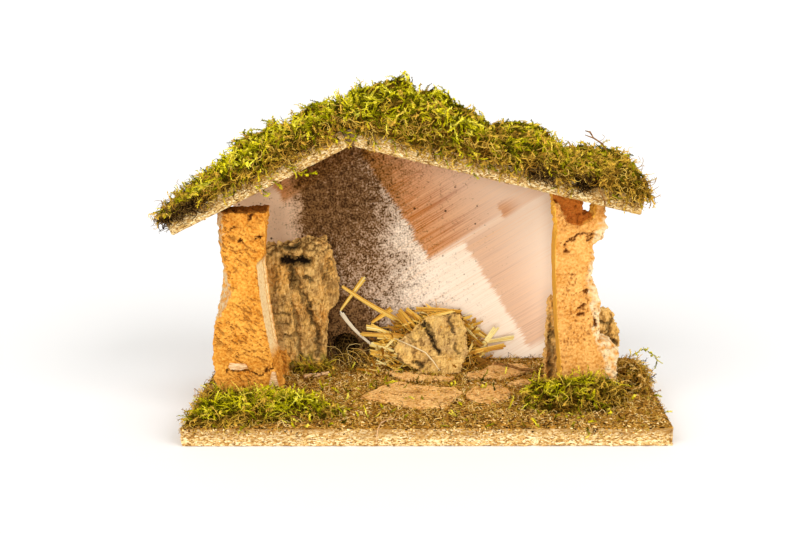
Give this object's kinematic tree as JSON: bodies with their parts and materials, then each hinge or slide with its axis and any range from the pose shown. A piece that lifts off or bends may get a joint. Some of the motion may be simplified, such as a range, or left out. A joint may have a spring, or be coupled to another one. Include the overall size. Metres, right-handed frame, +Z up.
{
  "type": "nativity stable",
  "caption": "Free-standing open-fronted stable of chipboard and cork bark with a mossy pitched roof, a back panel with a lamp hole, and room for crib figures.",
  "frame": {"origin": "middle of the base board's underside", "axes": "+Z up, +X to the right seen from the open front, +Y from the open front to the back panel"},
  "size_m": [0.3535, 0.1556, 0.2394],
  "materials": {
    "chipboard": "raw sawn chipboard",
    "painted_plywood": "thin brushed whitewash",
    "earth_coat": "rough glued crumbs",
    "hot_melt_glue": "cloudy",
    "cork": "rough cut cork",
    "bark": "rough dry bark",
    "path_cork": "torn cork",
    "dry_wood": "dry",
    "straw": "dry satin straw",
    "moss": "dried moss",
    "steel_wire": "bright"
  },
  "bodies": {
    "root": {"back_panel": "painted_plywood", "base_board": "chipboard", "dry_twig": "dry_wood", "ground_moss_front_left": "moss", "ground_moss_front_right": "moss", "ground_moss_inner": "moss", "ground_moss_rear_right": "moss", "ground_scatter": "earth_coat", "ground_stick": "dry_wood", "left_foot_chip": "bark", "left_foot_chunk": "cork", "left_post": "cork", "left_post_flake": "dry_wood", "left_post_nails": "steel_wire", "left_side_bark": "bark", "manger_bark": "bark", "panel_base_brads": "steel_wire", "panel_roof_brads": "steel_wire", "path_slab_1": "path_cork", "path_slab_2": "path_cork", "path_slab_3": "path_cork", "path_slab_4": "path_cork", "path_slab_5": "path_cork", "ridge_glue": "hot_melt_glue", "right_post": "cork", "right_post_nails": "steel_wire", "right_side_bark": "bark", "roof_board_left": "chipboard", "roof_board_right": "chipboard", "roof_moss_left_front_1": "moss", "roof_moss_left_front_2": "moss", "roof_moss_left_front_3": "moss", "roof_moss_left_rear_1": "moss", "roof_moss_left_rear_2": "moss", "roof_moss_left_rear_3": "moss", "roof_moss_right_front_1": "moss", "roof_moss_right_front_2": "moss", "roof_moss_right_front_3": "moss", "roof_moss_right_front_4": "moss", "roof_moss_right_rear_1": "moss", "roof_moss_right_rear_2": "moss", "roof_moss_right_rear_3": "moss", "roof_moss_right_rear_4": "moss", "roof_post_nails": "steel_wire", "straw_heap": "straw", "straw_stalks": "straw"}
  },
  "joints": []
}
